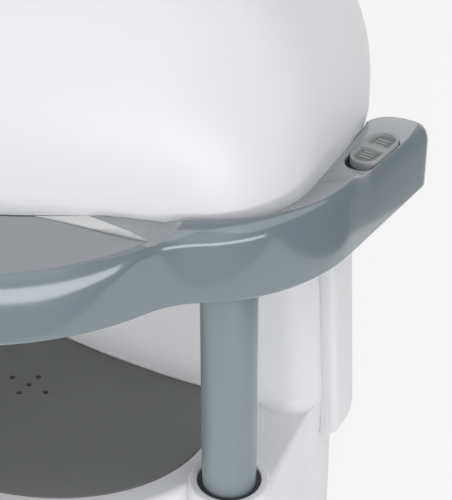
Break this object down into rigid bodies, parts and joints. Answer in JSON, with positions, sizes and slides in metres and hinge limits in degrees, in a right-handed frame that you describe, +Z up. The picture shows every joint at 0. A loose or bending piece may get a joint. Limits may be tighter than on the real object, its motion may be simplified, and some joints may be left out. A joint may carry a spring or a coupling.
{
  "type": "hood hair dryer",
  "caption": "Table-top hood hair dryer: a domed hood and collar with side arms ride on two telescoping posts over a weighted base.",
  "frame": {"origin": "on the table, under the middle of the object's box", "axes": "+X to the right as seen from the front, +Y to the back, +Z up"},
  "size_m": [0.354, 0.273, 0.422],
  "materials": {
    "white_shell": "glossy white moulding",
    "collar_gloss": "glossy grey-blue moulding",
    "post_gloss": "satin grey-blue tube",
    "deck_satin": "satin grey",
    "slider_satin": "satin grey, ribbed",
    "tray_matt": "matt dark grey, fine grain",
    "dark_plastic": "matt black",
    "foot_rubber": "matt rubber",
    "cast_weight": "cast",
    "screw_steel": "zinc plated",
    "rod_steel": "polished tube",
    "glide_nylon": "natural nylon",
    "pin_brass": "bright",
    "liner_white": "satin, heat resistant",
    "heater_steel": "heat tinted",
    "motor_can": "painted can"
  },
  "bodies": {
    "base": {"base_shell": "white_shell", "base_cover": "dark_plastic", "base_feet": "foot_rubber", "base_weight": "cast_weight", "base_screws": "screw_steel", "base_tray": "tray_matt", "rear_column": "white_shell", "rod_flanges": "screw_steel", "rod_right": "rod_steel", "rod_left": "rod_steel", "rod_guides": "glide_nylon", "boss_rings": "dark_plastic", "mains_inlet": "dark_plastic", "inlet_pins": "pin_brass"},
    "hood": {"hood_shell": "white_shell", "collar": "collar_gloss", "collar_underside": "collar_gloss", "underside_screws": "screw_steel", "hood_screws": "screw_steel", "front_deck": "deck_satin", "post_right": "post_gloss", "post_left": "post_gloss", "post_glides": "glide_nylon", "hood_liner": "liner_white", "heater_frame": "heater_steel", "heater_rings": "heater_steel", "thermostat": "heater_steel", "fan_motor": "motor_can", "motor_bracket": "screw_steel", "bracket_screws": "screw_steel", "crown_grille": "post_gloss", "switch_right": "dark_plastic", "switch_left": "dark_plastic"},
    "fan": {"impeller": "dark_plastic", "fan_shaft": "rod_steel"},
    "thumb_right": {"slider_right": "slider_satin"},
    "thumb_left": {"slider_left": "slider_satin"}
  },
  "joints": [
    {"name": "hood_lift", "type": "slide", "parent": "base", "child": "hood", "axis": [0, 0, 1], "range_m": [0, 0.18]},
    {"name": "fan_spin", "type": "hinge", "parent": "hood", "child": "fan", "pos_m": [0, 0.022, 0.39], "axis": [0, 0, 1], "continuous": true},
    {"name": "thumb_right_slide", "type": "slide", "parent": "hood", "child": "thumb_right", "axis": [0, -1, 0], "range_m": [0, 0.004]},
    {"name": "thumb_left_slide", "type": "slide", "parent": "hood", "child": "thumb_left", "axis": [0, -1, 0], "range_m": [0, 0.004]}
  ]
}
